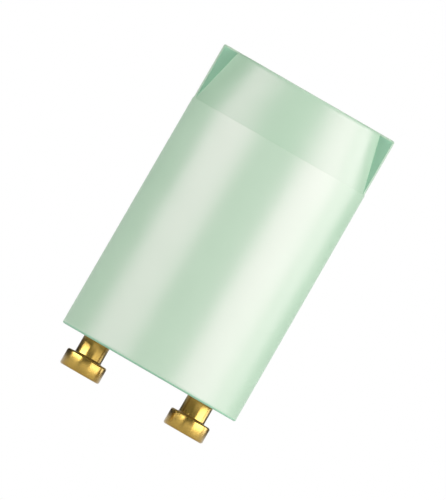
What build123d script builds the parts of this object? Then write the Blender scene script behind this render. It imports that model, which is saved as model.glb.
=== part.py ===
from build123d import *
import os
from math import radians, tan

# Glow-switch starter for a fluorescent lamp, opened up into the pieces it is made of.
# Millimetres, +Z up. The origin is on the can's axis, level with the ends of the two contact
# pins, and the pins stand side by side along X.

# Contact pins, turned from brass rod and riveted through the base plate
pin_spacing = 12.7
pin_projection = 3.85
head_diameter = 4.75
head_height = 1.9
head_chamfer = 0.22
neck_diameter = 3.1
shank_diameter = 2.4
shank_bore = 1.6
shank_bore_depth = 3.4
drill_point_angle = 118
rivet_diameter = 3.6
rivet_height = 0.5
rivet_rounding = 0.2

# Can with its finger grip, one moulding
body_diameter = 21.2
body_draft = 0.05
line_step = 0.07
housing_height = 34.3
grip_height = 6.55
grip_inset = 1.56
wing_thickness = 4.0
wall = 1.1
roof_thickness = 1.4
roof_corner = 1.0
edge_rounding = 0.2
mouth_chamfer = 0.35
rib_count = 4
rib_depth = 1.0
rib_width = 1.0
groove_depth = 0.4
groove_height = 1.0

# Base plate that closes the can and carries the pins
base_thickness = 2.0
base_recess = 0.4
base_clearance = 0.1
base_chamfer = 0.25
lug_width = 5.0
lug_clearance = 0.08
lug_ramp_angle = 20

# Glow bulb: blown envelope on a pressed stem
bulb_diameter = 8.2
bulb_length = 17.5
bulb_wall_gap = 1.5
glass_wall = 0.6
tip_diameter = 2.0
tip_length = 2.0
tip_hollow = 0.8
flare_thickness = 0.7
flare_height = 1.6
stem_tube_diameter = 4.0
stem_tube_height = 1.4
press_width = 4.6
press_thickness = 1.7
press_shoulder = 1.2
press_height = 1.8

# Electrodes inside the bulb
electrode_diameter = 0.9
electrode_height = 8.2
post_height = 3.2
post_flat_depth = 0.2
bimetal_thickness = 0.2
bimetal_width = 2.0
bimetal_height = 8.0
bimetal_foot_lift = 0.6
bimetal_free_leg = 5.6
contact_gap = 0.5

# Wires and solder
wire_diameter = 0.45
wire_gap = 0.15
wire_depth = 2.4
seal_spacing = 2.0
bend_radius = 0.7
solder_diameter = 2.6
solder_height = 0.6
turn_rise = 0.8
stem_rise = 1.2

# Dipped film capacitor
capacitor_width = 8.0
capacitor_thickness = 3.8
capacitor_height = 9.0
capacitor_rounding = 1.3
capacitor_pitch = 5.0
capacitor_gap = 0.5
capacitor_rise = 3.6
meniscus_diameter = 1.1
meniscus_height = 0.8

# Heights worked out from the pins upwards
foot_z = pin_projection
top_z = foot_z + housing_height
grip_z = top_z - grip_height
roof_z = top_z - roof_thickness
base_bottom_z = foot_z + base_recess
base_top_z = base_bottom_z + base_thickness
rivet_top_z = base_top_z + rivet_height
solder_top_z = rivet_top_z + solder_height
wire_end_z = rivet_top_z - wire_depth
turn_z = solder_top_z + turn_rise
stem_z = turn_z + stem_rise
flare_top_z = stem_z + flare_height
tube_top_z = flare_top_z + stem_tube_height
press_z = tube_top_z + press_shoulder
press_top_z = press_z + press_height
bulb_rim_z = stem_z + flare_thickness
capacitor_z = turn_z + capacitor_rise

# Radii and places worked out from the driving sizes
body_radius = body_diameter / 2
line_radius = body_radius - body_draft
grip_radius = line_radius - line_step
crown_radius = grip_radius - grip_inset
bore_radius = body_radius - wall
roof_radius = crown_radius - wall
groove_z = base_bottom_z + (base_thickness - groove_height) / 2
base_radius = bore_radius - base_clearance
lug_radius = bore_radius + groove_depth - lug_clearance
lug_z = groove_z + lug_clearance
lug_height = groove_height - 2 * lug_clearance
pin_x = pin_spacing / 2
seal_x = seal_spacing / 2
wire_y = (wire_diameter + wire_gap) / 2
bulb_radius = bulb_diameter / 2
bulb_offset = bore_radius - bulb_wall_gap - bulb_radius
capacitor_y = bulb_offset - bulb_radius - capacitor_gap - capacitor_thickness / 2

os.makedirs("parts", exist_ok=True)


def keep(piece, name):
    """Label a finished piece and write it to its own file."""
    piece.part.label = name
    export_step(piece.part, f"parts/{name}.step")


def upright(x, y=0):
    """A plane facing the viewer through (x, y), with its own X across and its own Y upwards."""
    return Plane(origin=(x, y, 0), x_dir=(1, 0, 0), z_dir=(0, -1, 0))


def upright_axis(x, y=0):
    """The vertical axis through (x, y)."""
    return Axis((x, y, 0), (0, 0, 1))


# The room inside the can, with the four ribs left out of it: they run from the base plate's seat
# up to the taper, where they die into the wall.
with BuildPart() as can_room:
    with BuildSketch(Plane.XZ):
        with BuildLine():
            Polyline(
                (0, foot_z),
                (bore_radius + mouth_chamfer, foot_z),
                (bore_radius, foot_z + mouth_chamfer),
                (bore_radius, grip_z),
                (roof_radius, roof_z),
                (0, roof_z),
                close=True,
            )
        make_face()
    revolve(axis=Axis.Z)
    chamfer(can_room.faces().sort_by(Axis.Z)[-1].edges(), roof_corner)
    with BuildSketch(Plane.XY.offset(base_top_z)):
        with PolarLocations(bore_radius, rib_count, start_angle=180 / rib_count):
            Rectangle(2 * rib_depth, rib_width)
    extrude(until=Until.LAST, mode=Mode.SUBTRACT)
    # Ring groove that the base plate's lugs snap into
    with BuildSketch(Plane.XY.offset(groove_z)):
        Circle(bore_radius + groove_depth)
    extrude(amount=groove_height)

# The two wings of the grip: one slab across the can, turned to the grip's radius. The grip's
# taper later covers all but its two ends.
with BuildPart() as wings:
    with BuildSketch(Plane.XZ):
        with Locations((0, grip_z)):
            Rectangle(2 * grip_radius, grip_height, align=(Align.CENTER, Align.MIN))
    extrude(amount=wing_thickness / 2, both=True)
    with BuildSketch(Plane.XY.offset(grip_z)):
        Circle(grip_radius)
    extrude(amount=grip_height, mode=Mode.INTERSECT)
    fillet(wings.faces().sort_by(Axis.Z)[-1].edges(), edge_rounding)

# Housing: a drafted can. Above a fine line its front and back draw in to the grip, while the
# wings, in line with the pins, keep the full width up to the top.
with BuildPart() as housing:
    with BuildSketch(Plane.XZ):
        with BuildLine():
            Polyline(
                (0, foot_z),
                (body_radius, foot_z),
                (line_radius, grip_z),
                (grip_radius, grip_z),
                (crown_radius, top_z),
                (0, top_z),
                close=True,
            )
        make_face()
    revolve(axis=Axis.Z)
    fillet(housing.faces().sort_by(Axis.Z)[-1].edges(), edge_rounding)
    fillet(housing.faces().sort_by(Axis.Z)[0].edges(), edge_rounding)
    add(wings.part)
    add(can_room.part, mode=Mode.SUBTRACT)
keep(housing, "housing")

# Base plate: a moulded disc with four ramped snap lugs and two holes for the riveted shanks
with BuildPart() as base_plate:
    with BuildSketch(Plane.XY.offset(base_bottom_z)):
        Circle(base_radius)
    extrude(amount=base_thickness)
    chamfer(base_plate.edges().filter_by(GeomType.CIRCLE), base_chamfer)
    with BuildSketch(Plane.XY.offset(lug_z)):
        Rectangle(2 * lug_radius, lug_width)
        Rectangle(lug_width, 2 * lug_radius)
        Circle(lug_radius, mode=Mode.INTERSECT)
    extrude(amount=lug_height, taper=lug_ramp_angle)
    with Locations((-pin_x, 0, base_top_z), (pin_x, 0, base_top_z)):
        Hole(shank_diameter / 2)
keep(base_plate, "base_plate")


def contact_pin(x):
    """Turned pin: head, neck, shoulder on the base plate, hollow shank and rolled rivet rim."""
    bore_bottom_z = rivet_top_z - shank_bore_depth
    drill_point = shank_bore / 2 / tan(radians(drill_point_angle / 2))
    with BuildPart() as pin:
        with BuildSketch(upright(x)):
            with BuildLine():
                Polyline(
                    (0, 0),
                    (head_diameter / 2, 0),
                    (head_diameter / 2, head_height),
                    (neck_diameter / 2, head_height),
                    (neck_diameter / 2, base_bottom_z),
                    (shank_diameter / 2, base_bottom_z),
                    (shank_diameter / 2, base_top_z),
                    (rivet_diameter / 2, base_top_z),
                    (rivet_diameter / 2, rivet_top_z),
                    (shank_bore / 2, rivet_top_z),
                    (shank_bore / 2, bore_bottom_z),
                    (0, bore_bottom_z - drill_point),
                    close=True,
                )
            make_face()
        revolve(axis=upright_axis(x))
        rims = pin.edges().filter_by(GeomType.CIRCLE)
        head_rims = rims.filter_by_position(Axis.Z, 0, head_height).group_by(SortBy.RADIUS)[-1]
        rivet_rim = rims.filter_by_position(Axis.Z, rivet_top_z, rivet_top_z).sort_by(SortBy.RADIUS)[-1]
        chamfer(head_rims, head_chamfer)
        fillet(rivet_rim, rivet_rounding)
    return pin


def bulb_lead(side):
    """Wire from the electrode, down through the press and the stem tube, into the hollow pin."""
    with BuildPart() as lead:
        with BuildLine() as route:
            FilletPolyline(
                (side * seal_x, bulb_offset, press_top_z),
                (side * seal_x, bulb_offset, turn_z),
                (side * pin_x, wire_y, turn_z),
                (side * pin_x, wire_y, wire_end_z),
                radius=bend_radius,
            )
        with BuildSketch(route.line ^ 0):
            Circle(wire_diameter / 2)
        sweep(path=route.wire())
    return lead


def capacitor_lead(side):
    """Wire from the foot of the capacitor into the same hollow pin."""
    start_z = capacitor_z - meniscus_height
    start_x = side * capacitor_pitch / 2
    with BuildPart() as lead:
        with BuildLine() as route:
            FilletPolyline(
                (start_x, capacitor_y, start_z),
                (start_x, capacitor_y, turn_z),
                (side * pin_x, -wire_y, turn_z),
                (side * pin_x, -wire_y, wire_end_z),
                radius=bend_radius,
            )
        with BuildSketch(route.line ^ 0):
            Circle(wire_diameter / 2)
        sweep(path=route.wire())
    return lead


def solder_fill(x, wires):
    """Solder that fills the hollow shank round both wires and domes over its mouth."""
    dome_radius = ((solder_diameter / 2) ** 2 + solder_height**2) / (2 * solder_height)
    bore_bottom_z = rivet_top_z - shank_bore_depth
    drill_point = shank_bore / 2 / tan(radians(drill_point_angle / 2))
    with BuildPart() as solder:
        with BuildSketch(upright(x)):
            with BuildLine():
                Polyline(
                    (0, solder_top_z),
                    (0, bore_bottom_z - drill_point),
                    (shank_bore / 2, bore_bottom_z),
                    (shank_bore / 2, rivet_top_z),
                    (solder_diameter / 2, rivet_top_z),
                )
                RadiusArc((solder_diameter / 2, rivet_top_z), (0, solder_top_z), -dome_radius)
            make_face()
        revolve(axis=upright_axis(x))
        for wire in wires:
            add(wire.part, mode=Mode.SUBTRACT)
    return solder


# The same set on each side: pin, both wires and the solder that holds them
for side, hand in ((-1, "left"), (1, "right")):
    pin = contact_pin(side * pin_x)
    from_bulb = bulb_lead(side)
    from_capacitor = capacitor_lead(side)
    keep(pin, f"contact_pin_{hand}")
    keep(from_bulb, f"bulb_lead_{hand}")
    keep(from_capacitor, f"capacitor_lead_{hand}")
    keep(solder_fill(side * pin_x, (from_bulb, from_capacitor)), f"solder_{hand}")

# Bulb envelope: a tube with a rounded end, drawn out to the tip where it was sealed off
shoulder_z = bulb_rim_z + bulb_length - (bulb_radius - tip_diameter / 2)
with BuildPart() as bulb_glass:
    with BuildSketch(upright(0, bulb_offset)):
        with BuildLine():
            tip_radius = tip_diameter / 2
            inner_radius = bulb_radius - glass_wall
            outer_dome_z = shoulder_z + bulb_radius - tip_radius
            inner_dome_z = shoulder_z + inner_radius - tip_radius
            tip_top_z = outer_dome_z + tip_length
            Line((inner_radius, bulb_rim_z), (bulb_radius, bulb_rim_z))
            Line((bulb_radius, bulb_rim_z), (bulb_radius, shoulder_z))
            CenterArc((tip_radius, shoulder_z), bulb_radius - tip_radius, 0, 90)
            Line((tip_radius, outer_dome_z), (tip_radius, tip_top_z - tip_radius))
            CenterArc((0, tip_top_z - tip_radius), tip_radius, 0, 90)
            Line((0, tip_top_z), (0, inner_dome_z + tip_hollow))
            Line((0, inner_dome_z + tip_hollow), (tip_radius, inner_dome_z))
            CenterArc((tip_radius, shoulder_z), inner_radius - tip_radius, 0, 90)
            Line((inner_radius, shoulder_z), (inner_radius, bulb_rim_z))
        make_face()
    revolve(axis=upright_axis(0, bulb_offset))
keep(bulb_glass, "bulb_glass")

# Stem: a flare that closes the envelope, a short tube, and the flattened press round the wires
with BuildPart() as bulb_stem:
    with BuildSketch(upright(0, bulb_offset)):
        with BuildLine():
            tube_radius = stem_tube_diameter / 2
            inner_tube_radius = tube_radius - glass_wall
            Polyline(
                (inner_tube_radius, tube_top_z),
                (inner_tube_radius, flare_top_z),
                (tube_radius, stem_z),
                (bulb_radius, stem_z),
                (bulb_radius, bulb_rim_z),
                (bulb_radius - glass_wall, bulb_rim_z),
                (tube_radius, flare_top_z),
                (tube_radius, tube_top_z),
                close=True,
            )
        make_face()
    revolve(axis=upright_axis(0, bulb_offset))
    with BuildSketch(Plane.XY.offset(tube_top_z)):
        with Locations((0, bulb_offset)):
            Circle(stem_tube_diameter / 2)
    with BuildSketch(Plane.XY.offset(press_z)) as press_section:
        with Locations((0, bulb_offset)):
            Ellipse(press_width / 2, press_thickness / 2)
    loft()
    extrude(press_section.sketch, amount=press_height)
    with Locations((-seal_x, bulb_offset, press_top_z), (seal_x, bulb_offset, press_top_z)):
        Hole(wire_diameter / 2)
keep(bulb_stem, "bulb_stem")

# Fixed electrode: a plain rod standing on its wire
with BuildPart() as fixed_electrode:
    with BuildSketch(Plane.XY.offset(press_top_z)):
        with Locations((-seal_x, bulb_offset)):
            Circle(electrode_diameter / 2)
    extrude(amount=electrode_height)
keep(fixed_electrode, "fixed_electrode")

# Post with a flat on its outer side, where the bimetal is welded
post_flat_x = seal_x + electrode_diameter / 2 - post_flat_depth
with BuildPart() as bimetal_post:
    with BuildSketch(Plane.XY.offset(press_top_z)):
        with Locations((seal_x, bulb_offset)):
            Circle(electrode_diameter / 2)
    extrude(amount=post_height)
    split(bisect_by=Plane.YZ.offset(post_flat_x), keep=Keep.BOTTOM)
keep(bimetal_post, "bimetal_post")

# Bimetal: a strip bent over like a hairpin, with its free leg hanging beside the fixed rod
weld_leg_x = post_flat_x + bimetal_thickness / 2
free_leg_x = -seal_x + electrode_diameter / 2 + contact_gap + bimetal_thickness / 2
bow_radius = (weld_leg_x - free_leg_x) / 2
bow_z = press_top_z + bimetal_height - bow_radius
with BuildPart() as bimetal_strip:
    with BuildSketch(upright(0, bulb_offset)):
        with BuildLine():
            Line((weld_leg_x, press_top_z + bimetal_foot_lift), (weld_leg_x, bow_z))
            CenterArc(((weld_leg_x + free_leg_x) / 2, bow_z), bow_radius, 0, 180)
            Line((free_leg_x, bow_z), (free_leg_x, bow_z - bimetal_free_leg))
        trace(line_width=bimetal_thickness)
    extrude(amount=bimetal_width / 2, both=True)
keep(bimetal_strip, "bimetal_strip")

# Capacitor: a rounded dipped block, its coating drawn down a little along each wire
with BuildPart() as capacitor_body:
    with BuildSketch(Plane.XY.offset(capacitor_z)):
        with Locations((0, capacitor_y)):
            RectangleRounded(capacitor_width, capacitor_thickness, capacitor_rounding)
    extrude(amount=capacitor_height)
    fillet(capacitor_body.faces().filter_by(Axis.Z).edges(), capacitor_rounding)
    for side in (-1, 1):
        with BuildSketch(Plane.XY.offset(capacitor_z)):
            with Locations((side * capacitor_pitch / 2, capacitor_y)):
                Circle(meniscus_diameter / 2)
        with BuildSketch(Plane.XY.offset(capacitor_z - meniscus_height)):
            with Locations((side * capacitor_pitch / 2, capacitor_y)):
                Circle(wire_diameter / 2)
        loft()
keep(capacitor_body, "capacitor_body")
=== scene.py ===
import bpy
from math import cos, hypot, pi, radians, sin, tan
from mathutils import Matrix, Vector


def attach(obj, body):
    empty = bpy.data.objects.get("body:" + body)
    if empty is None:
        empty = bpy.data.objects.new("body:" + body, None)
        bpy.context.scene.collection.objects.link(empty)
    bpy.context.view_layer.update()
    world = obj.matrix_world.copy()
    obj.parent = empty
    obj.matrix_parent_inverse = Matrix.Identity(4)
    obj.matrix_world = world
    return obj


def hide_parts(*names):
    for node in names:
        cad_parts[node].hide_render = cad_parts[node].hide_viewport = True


# The looks of a glow-switch starter: its can and contact pins modelled finely over the packed
# solids, a material for every surface, soft lamps, a pale floor and the camera.

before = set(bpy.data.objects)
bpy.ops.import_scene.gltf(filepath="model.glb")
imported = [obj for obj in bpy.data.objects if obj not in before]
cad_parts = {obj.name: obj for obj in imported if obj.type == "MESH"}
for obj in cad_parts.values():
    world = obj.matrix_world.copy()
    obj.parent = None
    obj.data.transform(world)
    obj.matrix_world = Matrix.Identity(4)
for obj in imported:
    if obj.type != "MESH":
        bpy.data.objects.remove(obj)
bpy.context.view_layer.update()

MM = 0.001

# Sizes of the can, in millimetres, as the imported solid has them. The wings' flat sides lie
# further out than FLAT_FROM_X, and their root is a little smaller and sunk into the can
FOOT_Z = 3.85
LINE_Z = 31.6
TOP_Z = 38.15
GRIP_TALL = TOP_Z - LINE_Z
ROOF_Z = 36.75
BODY_R = 10.6
LINE_R = 10.55
GRIP_R = 10.48
CROWN_R = 8.92
BORE_R = 9.5
ROOF_R = 7.82
ROOF_CORNER = 1.0
GROOVE_R = 9.9
GROOVE_Z = 4.75
GROOVE_TALL = 1.0
MOUTH_CHAMFER = 0.35
SOFT_EDGE = 0.2
WING_HALF = 2.0
WING_ROOT_DEEP = 1.0
WING_ROOT_SHARE = 0.9
FLAT_FROM_X = CROWN_R - 0.3
RIB_IN_R = 8.5
RIB_OUT_R = 9.6
RIB_WIDE = 1.0
RIB_TOP_Z = 34.8
RIB_EDGE = 0.15
RIB_ANGLES = (45, 135, 225, 315)

# Rings in the can's mesh that hold the rounding of an edge and the crispness of the line, and
# how far the room's cutter runs past the open mouth
EDGE_ROOM = 0.4
LINE_ROOM = 0.1
CROWN_RING_R = CROWN_R - 0.6
ROOF_RING_R = ROOF_R - 2
HUB_R = 1
PAST_MOUTH = 1
CAN_STEPS = 256

# Sizes of a contact pin and the base plate that it is riveted to
PIN_X = 6.35
HEAD_R = 2.375
HEAD_RING_R = HEAD_R - 0.5
HEAD_TALL = 1.9
HEAD_EDGE = 0.22
NECK_R = 1.55
NECK_EDGE = 0.15
SHANK_R = 1.2
RIVET_R = 1.8
SHANK_BORE_R = 0.8
BORE_BOTTOM_Z = 3.35
DRILL_DEEP = 0.48
DRILL_TIP_R = 0.05
PLATE_BOTTOM_Z = 4.25
PLATE_TOP_Z = 6.25
RIVET_TOP_Z = 6.75
PIN_STEPS = 96

# Height at which the bimetal strip is welded to its post, and how far the heat's colour rises
WELD_Z = 16.5
HEAT_TALL = 3

# How near counts as touching: a ring's points, merged points, and a face's middle to its plane
NEAR = 0.001
MERGE = 0.0001
FLAT_NEAR = 0.01

# The part of a noise pattern's range that it really uses, and a colour mix's numbered sockets
NOISE_SPAN = {"From Min": 0.3, "From Max": 0.7}
MIX_A = 6
MIX_B = 7
MIX_COLOUR = 2

# The photograph's view: 9.4 pixels to the millimetre, the can leaning 30 degrees to the right
PX_PER_MM = 9.4
IMAGE_TALL = 500
LEAN = radians(30)
AIM = (0.36, 0.0, 19.05)
FAR = 600

# The studio, in millimetres and degrees
FLOOR_R = 1500
CURTAIN_R = 1000
CURTAIN_TALL = 1100
BACKDROP_HALF_ANGLE = 16
STUDIO_STEPS = 96
LAMP_FAR = 600
TOP_FILL_Z = 700
TOP_FILL_WIDE = 500

# How much of the floor's look is plain white, and the strength of the room's own dim light
PAPER_SHARE = 0.6
ROOM_FILL = 0.05


def add_camera():
    """A level camera that looks at the can's middle, rolled so that the can leans."""
    data = bpy.data.cameras.new("camera")
    data.type = "ORTHO"
    data.ortho_scale = IMAGE_TALL / PX_PER_MM * MM
    data.clip_start = 10 * MM
    data.clip_end = 10000 * MM
    camera = bpy.data.objects.new("camera", data)
    bpy.context.scene.collection.objects.link(camera)
    right = Vector((cos(LEAN), 0, sin(LEAN)))
    up = Vector((-sin(LEAN), 0, cos(LEAN)))
    turned = Matrix((right, up, Vector((0, -1, 0)))).transposed().to_4x4()
    turned.translation = Vector((AIM[0], -FAR, AIM[2])) * MM
    camera.matrix_world = turned
    bpy.context.scene.camera = camera


def linear(code):
    """The linear colour of an sRGB hex code."""
    parts = [int(code[i : i + 2], 16) / 255 for i in (1, 3, 5)]
    return tuple(c / 12.92 if c <= 0.04045 else ((c + 0.055) / 1.055) ** 2.4 for c in parts) + (1,)


def every(size):
    """The scale of a pattern that repeats about every so many millimetres."""
    return 1 / (size * MM)


def add_node(tree, kind, settings, links=()):
    """One node: its options and socket values, and the outputs that feed its sockets."""
    node = tree.nodes.new(kind)
    for key, value in settings.items():
        if isinstance(key, str) and hasattr(node, key):
            setattr(node, key, value)
        else:
            node.inputs[key].default_value = value
    for output, socket in links:
        tree.links.new(output, node.inputs[socket])
    return node


def new_material(name):
    """An empty node material and its tree."""
    material = bpy.data.materials.new(name)
    material.use_nodes = True
    material.node_tree.nodes.clear()
    return material, material.node_tree


def mint_plastic(name, dark, light, shine, rough):
    """Mint polycarbonate from a fine-textured mould: satin, a little clouded, soft in its shine."""
    material, tree = new_material(name)
    place = add_node(tree, "ShaderNodeTexCoord", {}).outputs["Object"]
    # Pigment clouds a few millimetres across
    clouds = add_node(tree, "ShaderNodeTexNoise", {"Scale": every(5), "Detail": 3}, [(place, "Vector")])
    tint = add_node(
        tree,
        "ShaderNodeMix",
        {"data_type": "RGBA", MIX_A: linear(dark), MIX_B: linear(light)},
        [(clouds.outputs["Fac"], 0)],
    )
    # Mould texture, drawn coarser than its real 0.05 mm so that it shows
    grain = add_node(tree, "ShaderNodeTexNoise", {"Scale": every(0.2), "Detail": 2}, [(place, "Vector")])
    waves = add_node(tree, "ShaderNodeTexNoise", {"Scale": every(9), "Detail": 1}, [(place, "Vector")])
    satin = add_node(
        tree,
        "ShaderNodeMapRange",
        {**NOISE_SPAN, "To Min": rough[0], "To Max": rough[1]},
        [(clouds.outputs["Fac"], "Value")],
    )
    skin = add_node(
        tree,
        "ShaderNodeBump",
        {"Strength": 0.15, "Distance": 0.01 * MM},
        [(grain.outputs["Fac"], "Height")],
    )
    sway = add_node(
        tree,
        "ShaderNodeBump",
        {"Strength": 0.4, "Distance": 0.06 * MM},
        [(waves.outputs["Fac"], "Height"), (skin.outputs[0], "Normal")],
    )
    shader = add_node(
        tree,
        "ShaderNodeBsdfPrincipled",
        {"IOR": 1.7, "Specular IOR Level": shine, "Specular Tint": linear("#FFD0ED")},
        [
            (tint.outputs[MIX_COLOUR], "Base Color"),
            (satin.outputs[0], "Roughness"),
            (sway.outputs[0], "Normal"),
        ],
    )
    add_node(tree, "ShaderNodeOutputMaterial", {}, [(shader.outputs[0], "Surface")])
    return material


def turned_brass():
    """Brass rod turned on a lathe: fine rings round it, duller and browner where it was handled."""
    material, tree = new_material("brass_turned")
    place = add_node(tree, "ShaderNodeTexCoord", {}).outputs["Object"]
    axes = add_node(tree, "ShaderNodeSeparateXYZ", {}, [(place, 0)])
    # Distance from the nearer pin's axis: both pins are the same way round
    across = add_node(tree, "ShaderNodeMath", {"operation": "ABSOLUTE"}, [(axes.outputs["X"], 0)])
    from_pin = add_node(
        tree,
        "ShaderNodeMath",
        {"operation": "SUBTRACT", 1: PIN_X * MM},
        [(across.outputs[0], 0)],
    )
    flat = add_node(
        tree,
        "ShaderNodeCombineXYZ",
        {},
        [(from_pin.outputs[0], "X"), (axes.outputs["Y"], "Y")],
    )
    radius = add_node(tree, "ShaderNodeVectorMath", {"operation": "LENGTH"}, [(flat.outputs[0], 0)])
    along = add_node(tree, "ShaderNodeMath", {}, [(radius.outputs["Value"], 0), (axes.outputs["Z"], 1)])
    # Tool marks 0.12 mm apart, coarser than the real feed so that they show
    marks = add_node(
        tree,
        "ShaderNodeTexNoise",
        {"noise_dimensions": "1D", "Scale": every(0.12), "Detail": 2},
        [(along.outputs[0], "W")],
    )
    stain = add_node(tree, "ShaderNodeTexNoise", {"Scale": every(1.6), "Detail": 4}, [(place, "Vector")])
    tint = add_node(
        tree,
        "ShaderNodeMix",
        {"data_type": "RGBA", MIX_A: linear("#9C7A1C"), MIX_B: linear("#BA982E")},
        [(stain.outputs["Fac"], 0)],
    )
    rough = add_node(
        tree,
        "ShaderNodeMapRange",
        {**NOISE_SPAN, "To Min": 0.28, "To Max": 0.23},
        [(stain.outputs["Fac"], "Value")],
    )
    rings = add_node(
        tree,
        "ShaderNodeBump",
        {"Strength": 0.1, "Distance": 0.005 * MM},
        [(marks.outputs["Fac"], "Height")],
    )
    shader = add_node(
        tree,
        "ShaderNodeBsdfPrincipled",
        {"Metallic": 1.0, "Coat Weight": 1.0, "Coat Roughness": 0.24, "Coat IOR": 1.6},
        [
            (tint.outputs[MIX_COLOUR], "Base Color"),
            (rough.outputs[0], "Roughness"),
            (rings.outputs[0], "Normal"),
        ],
    )
    add_node(tree, "ShaderNodeOutputMaterial", {}, [(shader.outputs[0], "Surface")])
    return material


def clouded(name, tints, cloud, rough, grain, depth, stretch=(1, 1, 1), **values):
    """A finish whose colour and shine drift from place to place over a fine relief.

    Cloud and grain are the sizes of the drift and of the relief, depth is how deep the relief
    goes, all in millimetres, and stretch below 1 draws both out along that axis.
    """
    material, tree = new_material(name)
    place = add_node(tree, "ShaderNodeTexCoord", {}).outputs["Object"]
    drawn = add_node(tree, "ShaderNodeMapping", {"Scale": stretch}, [(place, "Vector")])
    drift = add_node(
        tree,
        "ShaderNodeTexNoise",
        {"Scale": every(cloud), "Detail": 3},
        [(drawn.outputs[0], "Vector")],
    )
    tint = add_node(
        tree,
        "ShaderNodeMix",
        {"data_type": "RGBA", MIX_A: linear(tints[0]), MIX_B: linear(tints[1])},
        [(drift.outputs["Fac"], 0)],
    )
    shine = add_node(
        tree,
        "ShaderNodeMapRange",
        {**NOISE_SPAN, "To Min": rough[0], "To Max": rough[1]},
        [(drift.outputs["Fac"], "Value")],
    )
    relief = add_node(
        tree,
        "ShaderNodeTexNoise",
        {"Scale": every(grain), "Detail": 2},
        [(drawn.outputs[0], "Vector")],
    )
    bump = add_node(
        tree,
        "ShaderNodeBump",
        {"Strength": 0.5, "Distance": depth * MM},
        [(relief.outputs["Fac"], "Height")],
    )
    shader = add_node(
        tree,
        "ShaderNodeBsdfPrincipled",
        values,
        [
            (tint.outputs[MIX_COLOUR], "Base Color"),
            (shine.outputs[0], "Roughness"),
            (bump.outputs[0], "Normal"),
        ],
    )
    add_node(tree, "ShaderNodeOutputMaterial", {}, [(shader.outputs[0], "Surface")])
    return material


def matt_polyamide():
    """Off-white polyamide from a spark-eroded mould: dull and chalky, yellower where it flowed last."""
    # Erosion grain drawn at 0.25 mm, coarser than real so that it shows
    return clouded(
        "polyamide_moulded_matt",
        ("#D9D5C4", "#E6E3D6"),
        cloud=4.0,
        rough=(0.5, 0.62),
        grain=0.25,
        depth=0.02,
        IOR=1.53,
    )


def drawn_nickel():
    """Nickel wire drawn through a die: grey with a warm cast, long fine lines down its length."""
    # Die lines drawn 0.09 mm apart, coarser than real so that they show
    return clouded(
        "nickel_rod_drawn",
        ("#A39E92", "#C2BDB1"),
        cloud=0.5,
        rough=(0.28, 0.4),
        grain=0.09,
        depth=0.004,
        stretch=(1, 1, 0.05),
        Metallic=1.0,
    )


def tinned_copper():
    """Copper wire hot-dipped in tin: bright, with duller patches where the tin ran thin."""
    return clouded(
        "copper_wire_tinned",
        ("#B5B3AC", "#D3D1CA"),
        cloud=0.6,
        rough=(0.2, 0.38),
        grain=0.2,
        depth=0.006,
        Metallic=1.0,
    )


def dipped_epoxy():
    """Red-brown epoxy that the capacitor was dipped in: glossy, sagging in shallow waves."""
    return clouded(
        "epoxy_dipped_red_brown",
        ("#8A4020", "#9F522B"),
        cloud=2.5,
        rough=(0.14, 0.24),
        grain=1.3,
        depth=0.05,
        **{"IOR": 1.55, "Coat Weight": 0.3, "Coat Roughness": 0.08},
    )


def worked_glass(name, colour, ior, wave, depth):
    """Lamp glass shaped in a flame: clear and glossy, its surface swaying as it set."""
    material, tree = new_material(name)
    place = add_node(tree, "ShaderNodeTexCoord", {}).outputs["Object"]
    sway = add_node(tree, "ShaderNodeTexNoise", {"Scale": every(wave), "Detail": 1}, [(place, "Vector")])
    haze = add_node(
        tree,
        "ShaderNodeMapRange",
        {"From Min": 0.35, "From Max": 0.75, "To Min": 0.01, "To Max": 0.06},
        [(sway.outputs["Fac"], "Value")],
    )
    bump = add_node(
        tree,
        "ShaderNodeBump",
        {"Strength": 0.6, "Distance": depth * MM},
        [(sway.outputs["Fac"], "Height")],
    )
    shader = add_node(
        tree,
        "ShaderNodeBsdfPrincipled",
        {"Base Color": linear(colour), "IOR": ior, "Transmission Weight": 1.0},
        [(haze.outputs[0], "Roughness"), (bump.outputs[0], "Normal")],
    )
    add_node(tree, "ShaderNodeOutputMaterial", {}, [(shader.outputs[0], "Surface")])
    return material


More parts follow.
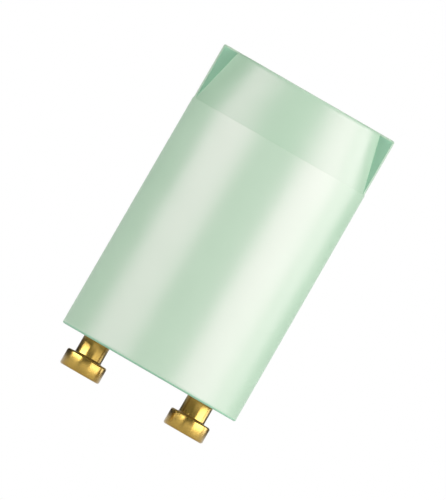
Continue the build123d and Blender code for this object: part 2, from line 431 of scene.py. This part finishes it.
def rolled_bimetal():
    """Bimetal rolled to strip: steel grey, lined along its length, straw-coloured near the weld."""
    material, tree = new_material("bimetal_strip_rolled")
    place = add_node(tree, "ShaderNodeTexCoord", {}).outputs["Object"]
    # Roll lines drawn 0.12 mm apart, coarser than real so that they show
    drawn = add_node(tree, "ShaderNodeMapping", {"Scale": (1, 1, 0.04)}, [(place, "Vector")])
    lines = add_node(
        tree,
        "ShaderNodeTexNoise",
        {"Scale": every(0.12), "Detail": 2},
        [(drawn.outputs[0], "Vector")],
    )
    steel = add_node(
        tree,
        "ShaderNodeMix",
        {"data_type": "RGBA", MIX_A: linear("#98958E"), MIX_B: linear("#B6B3AC")},
        [(lines.outputs["Fac"], 0)],
    )
    height = add_node(tree, "ShaderNodeSeparateXYZ", {}, [(place, 0)])
    heat = add_node(
        tree,
        "ShaderNodeMapRange",
        {"From Min": WELD_Z * MM, "From Max": (WELD_Z + HEAT_TALL) * MM, "To Min": 0.8, "To Max": 0.0},
        [(height.outputs["Z"], "Value")],
    )
    tint = add_node(
        tree,
        "ShaderNodeMix",
        {"data_type": "RGBA", MIX_B: linear("#B08C55")},
        [(heat.outputs[0], 0), (steel.outputs[MIX_COLOUR], MIX_A)],
    )
    shine = add_node(
        tree,
        "ShaderNodeMapRange",
        {**NOISE_SPAN, "To Min": 0.24, "To Max": 0.38},
        [(lines.outputs["Fac"], "Value")],
    )
    bump = add_node(
        tree,
        "ShaderNodeBump",
        {"Strength": 0.4, "Distance": 0.004 * MM},
        [(lines.outputs["Fac"], "Height")],
    )
    shader = add_node(
        tree,
        "ShaderNodeBsdfPrincipled",
        {"Metallic": 1.0},
        [
            (tint.outputs[MIX_COLOUR], "Base Color"),
            (shine.outputs[0], "Roughness"),
            (bump.outputs[0], "Normal"),
        ],
    )
    add_node(tree, "ShaderNodeOutputMaterial", {}, [(shader.outputs[0], "Surface")])
    return material


def frosted_solder():
    """Solder set in a dome: silver, frosted in patches where its crystals met as it cooled."""
    material, tree = new_material("solder_cooled")
    place = add_node(tree, "ShaderNodeTexCoord", {}).outputs["Object"]
    # Crystals drawn at 0.35 mm, about as large as slow solder shows them
    crystals = add_node(tree, "ShaderNodeTexVoronoi", {"Scale": every(0.35)}, [(place, "Vector")])
    tint = add_node(
        tree,
        "ShaderNodeMix",
        {"data_type": "RGBA", MIX_A: linear("#C9CACC"), MIX_B: linear("#A9AAAD")},
        [(crystals.outputs["Distance"], 0)],
    )
    frost = add_node(
        tree,
        "ShaderNodeMapRange",
        {"From Min": 0.0, "From Max": 0.7, "To Min": 0.2, "To Max": 0.5},
        [(crystals.outputs["Distance"], "Value")],
    )
    bump = add_node(
        tree,
        "ShaderNodeBump",
        {"Strength": 0.3, "Distance": 0.01 * MM},
        [(crystals.outputs["Distance"], "Height")],
    )
    shader = add_node(
        tree,
        "ShaderNodeBsdfPrincipled",
        {"Metallic": 1.0},
        [
            (tint.outputs[MIX_COLOUR], "Base Color"),
            (frost.outputs[0], "Roughness"),
            (bump.outputs[0], "Normal"),
        ],
    )
    add_node(tree, "ShaderNodeOutputMaterial", {}, [(shader.outputs[0], "Surface")])
    return material


def select_only(piece):
    """Deselect everything else and make one piece active."""
    bpy.ops.object.select_all(action="DESELECT")
    piece.select_set(True)
    bpy.context.view_layer.objects.active = piece


def edit(piece):
    """Make a piece active with nothing in it selected, ready for edges to be picked."""
    select_only(piece)
    bpy.ops.object.mode_set(mode="EDIT")
    bpy.ops.mesh.select_mode(type="EDGE")
    bpy.ops.mesh.select_all(action="DESELECT")
    bpy.ops.object.mode_set(mode="OBJECT")


def settle():
    """Put the new primitive's place into its mesh."""
    bpy.ops.object.transform_apply(location=True, rotation=True, scale=True)


def turn(name, outline, x=0.0, steps=CAN_STEPS):
    """Turn an outline of (radius, height) in millimetres: a disc, extruded ring by ring."""
    radius, z = outline[0]
    bpy.ops.object.select_all(action="DESELECT")
    bpy.ops.mesh.primitive_circle_add(
        vertices=steps, radius=radius * MM, fill_type="TRIFAN", location=(x * MM, 0, z * MM)
    )
    piece = bpy.context.object
    piece.name = name
    settle()
    bpy.ops.object.mode_set(mode="EDIT")
    bpy.ops.mesh.select_all(action="SELECT")
    bpy.ops.mesh.region_to_loop()
    for next_radius, next_z in outline[1:]:
        bpy.ops.mesh.extrude_edges_move(TRANSFORM_OT_translate={"value": (0, 0, (next_z - z) * MM)})
        grow = next_radius / radius
        bpy.ops.transform.resize(value=(grow, grow, 1), center_override=(x * MM, 0, next_z * MM))
        radius, z = next_radius, next_z
    bpy.ops.mesh.merge(type="CENTER")
    bpy.ops.mesh.select_all(action="SELECT")
    bpy.ops.mesh.remove_doubles(threshold=MERGE * MM)
    bpy.ops.mesh.normals_make_consistent(inside=False)
    bpy.ops.object.mode_set(mode="OBJECT")
    return piece


def soften(piece, chosen, width, segments=4):
    """Round over the edges whose two ends, in millimetres, are both chosen."""
    edit(piece)
    mesh = piece.data
    for edge in mesh.edges:
        edge.select = all(chosen(mesh.vertices[i].co / MM) for i in edge.vertices)
    bpy.ops.object.mode_set(mode="EDIT")
    bpy.ops.mesh.bevel(offset=width * MM, segments=segments, affect="EDGES")
    bpy.ops.object.mode_set(mode="OBJECT")


def on_ring(radius, z, x=0.0):
    """Whether a point is on the ring of that radius and height."""
    return lambda end: abs(end.z - z) < NEAR and abs(hypot(end.x - x, end.y) - radius) < NEAR


def apply_modifier(piece, kind, **options):
    """Add one modifier with its options and apply it."""
    select_only(piece)
    modifier = piece.modifiers.new(kind.lower(), kind)
    for key, value in options.items():
        setattr(modifier, key, value)
    bpy.ops.object.modifier_apply(modifier=modifier.name)


def smooth(piece, angle=35):
    """Smooth shading that keeps the true edges and lets the big faces lead."""
    select_only(piece)
    bpy.ops.object.shade_smooth_by_angle(angle=radians(angle))
    apply_modifier(piece, "WEIGHTED_NORMAL", keep_sharp=True)


def cut_away(piece, point, direction):
    """Cut a piece off flat beyond a plane and close the cut."""
    edit(piece)
    bpy.ops.object.mode_set(mode="EDIT")
    bpy.ops.mesh.select_all(action="SELECT")
    bpy.ops.mesh.bisect(
        plane_co=point, plane_no=direction, use_fill=True, clear_outer=True, threshold=MERGE * MM
    )
    bpy.ops.object.mode_set(mode="OBJECT")


def taper_radius(z):
    """Radius of the grip's taper at a height: a straight cone from the line to the crown."""
    return CROWN_R + (GRIP_R - CROWN_R) * (TOP_Z - z) / (TOP_Z - LINE_Z)


def wall_radius(z):
    """Radius of the can's drafted wall at a height."""
    return BODY_R + (LINE_R - BODY_R) * (z - FOOT_Z) / (LINE_Z - FOOT_Z)


def can_block():
    """The can's outside as a solid block, turned from the top face down to the foot."""
    outline = [(CROWN_RING_R, TOP_Z), (CROWN_R, TOP_Z)]
    grip_rings = (TOP_Z - EDGE_ROOM, 36, 34, LINE_Z + LINE_ROOM)
    outline += [(taper_radius(z), z) for z in grip_rings]
    outline += [(GRIP_R, LINE_Z), (LINE_R, LINE_Z)]
    wall_rings = (LINE_Z - LINE_ROOM, 24, 14, FOOT_Z + EDGE_ROOM, FOOT_Z)
    outline += [(wall_radius(z), z) for z in wall_rings]
    outline += [(BODY_R - EDGE_ROOM, FOOT_Z), (HUB_R, FOOT_Z)]
    block = turn("can", outline)
    soften(block, on_ring(CROWN_R, TOP_Z), SOFT_EDGE)
    soften(block, on_ring(BODY_R, FOOT_Z), SOFT_EDGE)
    return block


def can_room():
    """The room inside the can, down past its open mouth, with the snap groove as a ring round it."""
    groove_top = GROOVE_Z + GROOVE_TALL
    outline = [(ROOF_RING_R, ROOF_Z), (ROOF_R, ROOF_Z), (BORE_R, LINE_Z)]
    outline += [(BORE_R, groove_top), (GROOVE_R, groove_top), (GROOVE_R, GROOVE_Z), (BORE_R, GROOVE_Z)]
    outline += [(BORE_R, FOOT_Z + MOUTH_CHAMFER), (BORE_R + MOUTH_CHAMFER, FOOT_Z)]
    outline += [(BORE_R + MOUTH_CHAMFER, FOOT_Z - PAST_MOUTH), (HUB_R, FOOT_Z - PAST_MOUTH)]
    room = turn("room", outline)
    soften(room, on_ring(ROOF_R, ROOF_Z), ROOF_CORNER, segments=1)
    return room


def grip_wings():
    """The grip's two wings: a drum cut flat on both sides, its edges broken."""
    bpy.ops.object.select_all(action="DESELECT")
    bpy.ops.mesh.primitive_cylinder_add(
        vertices=CAN_STEPS,
        radius=GRIP_R * MM,
        depth=GRIP_TALL * MM,
        location=(0, 0, (LINE_Z + TOP_Z) / 2 * MM),
    )
    slab = bpy.context.object
    settle()
    for side in (-1, 1):
        cut_away(slab, (0, side * WING_HALF * MM, 0), (0, side, 0))
    soften(slab, lambda end: abs(end.z - TOP_Z) < NEAR, SOFT_EDGE)
    # A smaller root under it, sunk into the can so that the two join without a seam
    edit(slab)
    for face in slab.data.polygons:
        face.select = face.normal.z < -0.9
    bpy.ops.object.mode_set(mode="EDIT")
    bpy.ops.mesh.select_mode(type="FACE")
    bpy.ops.mesh.extrude_region_move(TRANSFORM_OT_translate={"value": (0, 0, -WING_ROOT_DEEP * MM)})
    bpy.ops.transform.resize(value=(WING_ROOT_SHARE, WING_ROOT_SHARE, 1), center_override=(0, 0, 0))
    bpy.ops.object.mode_set(mode="OBJECT")
    return slab


def rib():
    """One of the ribs inside, standing on the base plate, its inner corners broken."""
    bpy.ops.object.select_all(action="DESELECT")
    bpy.ops.mesh.primitive_cube_add(
        size=MM,
        location=((RIB_IN_R + RIB_OUT_R) / 2 * MM, 0, (PLATE_TOP_Z + RIB_TOP_Z) / 2 * MM),
        scale=(RIB_OUT_R - RIB_IN_R, RIB_WIDE, RIB_TOP_Z - PLATE_TOP_Z),
    )
    bar = bpy.context.object
    settle()
    soften(bar, lambda end: end.x < RIB_IN_R + FLAT_NEAR, RIB_EDGE, segments=3)
    return bar


def combine(piece, tool, operation):
    """Join a tool to a piece or cut it away, and remove the tool."""
    apply_modifier(piece, "BOOLEAN", object=tool, operation=operation, solver="EXACT")
    bpy.data.objects.remove(tool)


def moulded_can():
    """The whole can: block and wings joined, then the ribbed room cut out of them."""
    block = can_block()
    room = can_room()
    combine(block, grip_wings(), "UNION")
    bar = rib()
    for turned in RIB_ANGLES:
        copy = bar.copy()
        copy.data = bar.data.copy()
        bpy.context.scene.collection.objects.link(copy)
        select_only(copy)
        bpy.ops.transform.rotate(value=radians(turned), orient_axis="Z", center_override=(0, 0, 0))
        settle()
        combine(room, copy, "DIFFERENCE")
    bpy.data.objects.remove(bar)
    combine(block, room, "DIFFERENCE")
    return block


def finish_can(can, wall, painted_shade, top):
    """Give the wings' flats and the foot's rim the finish whose darker colour is painted shade, the top
    its own, the rest wall.
    """
    slots = [wall, painted_shade, top]
    for finish in slots:
        can.data.materials.append(finish)
    for face in can.data.polygons:
        middle = face.center / MM
        on_blade = middle.z > LINE_Z and abs(middle.x) > FLAT_FROM_X
        on_flat = on_blade and abs(abs(middle.y) - WING_HALF) < FLAT_NEAR
        on_rim = middle.z < FOOT_Z + SOFT_EDGE and hypot(middle.x, middle.y) > BODY_R - SOFT_EDGE
        # The wings' flats and the foot's rim take the colour that paints the shade there
        if on_flat or on_rim:
            face.material_index = slots.index(painted_shade)
        elif middle.z > TOP_Z - FLAT_NEAR:
            face.material_index = slots.index(top)


def contact_pin(name, x, finish):
    """A turned pin: head, neck, shoulder, hollow shank and rolled rivet rim."""
    outline = [(HEAD_RING_R, 0), (HEAD_R, 0), (HEAD_R, HEAD_TALL), (NECK_R, HEAD_TALL)]
    outline += [(NECK_R, PLATE_BOTTOM_Z), (SHANK_R, PLATE_BOTTOM_Z), (SHANK_R, PLATE_TOP_Z)]
    outline += [(RIVET_R, PLATE_TOP_Z), (RIVET_R, RIVET_TOP_Z), (SHANK_BORE_R, RIVET_TOP_Z)]
    outline += [(SHANK_BORE_R, BORE_BOTTOM_Z), (DRILL_TIP_R, BORE_BOTTOM_Z - DRILL_DEEP)]
    pin = turn(name, outline, x=x, steps=PIN_STEPS)
    soften(pin, on_ring(HEAD_R, 0, x), HEAD_EDGE)
    soften(pin, on_ring(HEAD_R, HEAD_TALL, x), HEAD_EDGE)
    soften(pin, on_ring(NECK_R, HEAD_TALL, x), NECK_EDGE)
    soften(pin, on_ring(RIVET_R, RIVET_TOP_Z, x), SOFT_EDGE)
    smooth(pin)
    pin.data.materials.append(finish)
    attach(pin, "root")
    return pin


def area_lamp(name, wide, tall, radiance, mirrored):
    """A lamp of that size in millimetres at the origin, facing down, unseen by the camera."""
    data = bpy.data.lights.new(name, "AREA")
    data.shape = "RECTANGLE"
    data.size = wide * MM
    data.size_y = tall * MM
    data.energy = radiance * pi * data.size * data.size_y
    lamp = bpy.data.objects.new(name, data)
    bpy.context.scene.collection.objects.link(lamp)
    lamp.visible_camera = False
    lamp.visible_glossy = mirrored
    return lamp


def softbox(name, angle, half_angle, low, high, radiance, mirrored=True):
    """A soft lamp from low to high, turned to the can.

    Its angle runs from the camera to the right, and half_angle is half its width from the can.
    """
    wide = 2 * LAMP_FAR * tan(radians(half_angle))
    lamp = area_lamp(name, wide, high - low, radiance, mirrored)
    turned = radians(angle)
    lamp.location = Vector((LAMP_FAR * sin(turned), -LAMP_FAR * cos(turned), (low + high) / 2)) * MM
    lamp.rotation_euler = (pi / 2, 0, turned)


def backdrop_rays(tree):
    """1 for rays that should meet plain white: the camera's own, reflections and through glass."""
    rays = add_node(tree, "ShaderNodeLightPath", {})
    seen = add_node(
        tree,
        "ShaderNodeMath",
        {"operation": "MAXIMUM"},
        [(rays.outputs["Is Camera Ray"], 0), (rays.outputs["Is Glossy Ray"], 1)],
    )
    seen_through = add_node(
        tree,
        "ShaderNodeMath",
        {"operation": "MAXIMUM"},
        [(seen.outputs[0], 0), (rays.outputs["Is Transmission Ray"], 1)],
    )
    return seen_through.outputs[0]


def add_floor():
    """A pale floor: white paper to the camera and in reflections, yet it keeps a soft shadow."""
    bpy.ops.object.select_all(action="DESELECT")
    bpy.ops.mesh.primitive_circle_add(vertices=STUDIO_STEPS, radius=FLOOR_R * MM, fill_type="NGON")
    floor = bpy.context.object
    floor.name = "floor"
    material, tree = new_material("white_paper")
    share = add_node(
        tree,
        "ShaderNodeMath",
        {"operation": "MULTIPLY", 1: PAPER_SHARE},
        [(backdrop_rays(tree), 0)],
    )
    matt = add_node(tree, "ShaderNodeBsdfDiffuse", {"Color": linear("#EDEDED")})
    glow = add_node(tree, "ShaderNodeEmission", {"Color": linear("#FFFFFF"), "Strength": 1.0})
    mixed = add_node(
        tree,
        "ShaderNodeMixShader",
        {},
        [(share.outputs[0], 0), (matt.outputs[0], 1), (glow.outputs[0], 2)],
    )
    add_node(tree, "ShaderNodeOutputMaterial", {}, [(mixed.outputs[0], "Surface")])
    floor.data.materials.append(material)


def add_curtain():
    """Dark studio curtain round the lamps, open behind the can where the white backdrop is.

    The camera doesn't see it. Gloss and metal mirror it between the lamps, which is what gives
    the can its dark middle and its defined edges.
    """
    bpy.ops.object.select_all(action="DESELECT")
    bpy.ops.mesh.primitive_circle_add(vertices=STUDIO_STEPS, radius=CURTAIN_R * MM)
    curtain = bpy.context.object
    curtain.name = "curtain"
    bpy.ops.object.mode_set(mode="EDIT")
    bpy.ops.mesh.select_all(action="SELECT")
    bpy.ops.mesh.extrude_edges_move(TRANSFORM_OT_translate={"value": (0, 0, CURTAIN_TALL * MM)})
    bpy.ops.mesh.select_all(action="DESELECT")
    bpy.ops.object.mode_set(mode="OBJECT")
    open_from = CURTAIN_R * MM * cos(radians(BACKDROP_HALF_ANGLE))
    for corner in curtain.data.vertices:
        corner.select = corner.co.y > open_from
    bpy.ops.object.mode_set(mode="EDIT")
    bpy.ops.mesh.delete(type="VERT")
    bpy.ops.object.mode_set(mode="OBJECT")
    material, tree = new_material("black_cloth")
    weave = add_node(tree, "ShaderNodeTexNoise", {"Scale": every(25)})
    tint = add_node(
        tree,
        "ShaderNodeMix",
        {"data_type": "RGBA", MIX_A: linear("#26282B"), MIX_B: linear("#34363A")},
        [(weave.outputs["Fac"], 0)],
    )
    cloth = add_node(tree, "ShaderNodeBsdfDiffuse", {}, [(tint.outputs[MIX_COLOUR], "Color")])
    add_node(tree, "ShaderNodeOutputMaterial", {}, [(cloth.outputs[0], "Surface")])
    curtain.data.materials.append(material)
    curtain.visible_camera = False


def light_room():
    """The world: plain white behind everything, but only a dim fill on the object."""
    world = bpy.data.worlds.new("white_room")
    bpy.context.scene.world = world
    world.use_nodes = True
    tree = world.node_tree
    tree.nodes.clear()
    fill = add_node(tree, "ShaderNodeBackground", {"Color": linear("#FFFFFF"), "Strength": ROOM_FILL})
    paper = add_node(tree, "ShaderNodeBackground", {"Color": linear("#FFFFFF"), "Strength": 1.0})
    both = add_node(
        tree,
        "ShaderNodeMixShader",
        {},
        [(backdrop_rays(tree), 0), (fill.outputs[0], 1), (paper.outputs[0], 2)],
    )
    add_node(tree, "ShaderNodeOutputWorld", {}, [(both.outputs[0], "Surface")])


add_camera()
mint = mint_plastic(
    "mint_polycarbonate_moulded", "#ABCDB0", "#AFCFB3", shine=1.0, rough=(0.33, 0.39)
)
# Painted shade: the wings' flats and the foot's rim get a darker, greener colour for the shade that
# falls there, with less shine
painted_shade_mint = mint_plastic(
    "mint_polycarbonate_painted_shade", "#8DBEA0", "#92C2A4", shine=0.4, rough=(0.45, 0.52)
)
# The top face, where the mould was spark-eroded: duller, so that it stays mint at a slant
eroded_mint = mint_plastic(
    "mint_polycarbonate_eroded", "#ABCDB0", "#AFCFB3", shine=0.3, rough=(0.6, 0.7)
)
brass = turned_brass()

starter_can = moulded_can()
smooth(starter_can)
finish_can(starter_can, mint, painted_shade_mint, eroded_mint)
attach(starter_can, "root")
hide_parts("housing")

for hand, side in (("left", -1), ("right", 1)):
    pin = contact_pin(f"pin_{hand}", side * PIN_X, brass)
    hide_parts(f"contact_pin_{hand}")

lime_glass = worked_glass("lime_glass_blown", "#F8FBF9", ior=1.51, wave=3.0, depth=0.04)
lead_glass = worked_glass("lead_glass_pressed", "#EFF3EA", ior=1.56, wave=1.2, depth=0.06)
nickel = drawn_nickel()
wire = tinned_copper()
solder = frosted_solder()
finishes = {
    "base_plate": matt_polyamide(),
    "bulb_glass": lime_glass,
    "bulb_stem": lead_glass,
    "fixed_electrode": nickel,
    "bimetal_post": nickel,
    "bimetal_strip": rolled_bimetal(),
    "bulb_lead_left": wire,
    "bulb_lead_right": wire,
    "capacitor_lead_left": wire,
    "capacitor_lead_right": wire,
    "capacitor_body": dipped_epoxy(),
    "solder_left": solder,
    "solder_right": solder,
}
for node, finish in finishes.items():
    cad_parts[node].material_slots[0].material = finish

# The side lamps draw the pale bands down the can, and the rim lamp and the strips its edge and
# front. The two fills show in no shine and light its back and its top.
softbox("right_softbox", angle=61, half_angle=30, low=20, high=290, radiance=6.3)
softbox("right_rim", angle=109, half_angle=11, low=20, high=270, radiance=4.0)
softbox("left_softbox", angle=-60, half_angle=30, low=92, high=196, radiance=12.8)
softbox("back_fill", angle=180, half_angle=40, low=60, high=400, radiance=2.6, mirrored=False)
top_fill = area_lamp("top_fill", TOP_FILL_WIDE, TOP_FILL_WIDE, radiance=1.6, mirrored=False)
top_fill.location.z = TOP_FILL_Z * MM
softbox("overhead_front", angle=5, half_angle=30, low=260, high=420, radiance=0.9)
softbox("front_strip", angle=8, half_angle=23, low=0, high=45, radiance=2.4)
add_floor()
add_curtain()
light_room()

bpy.context.scene.view_settings.view_transform = "Standard"
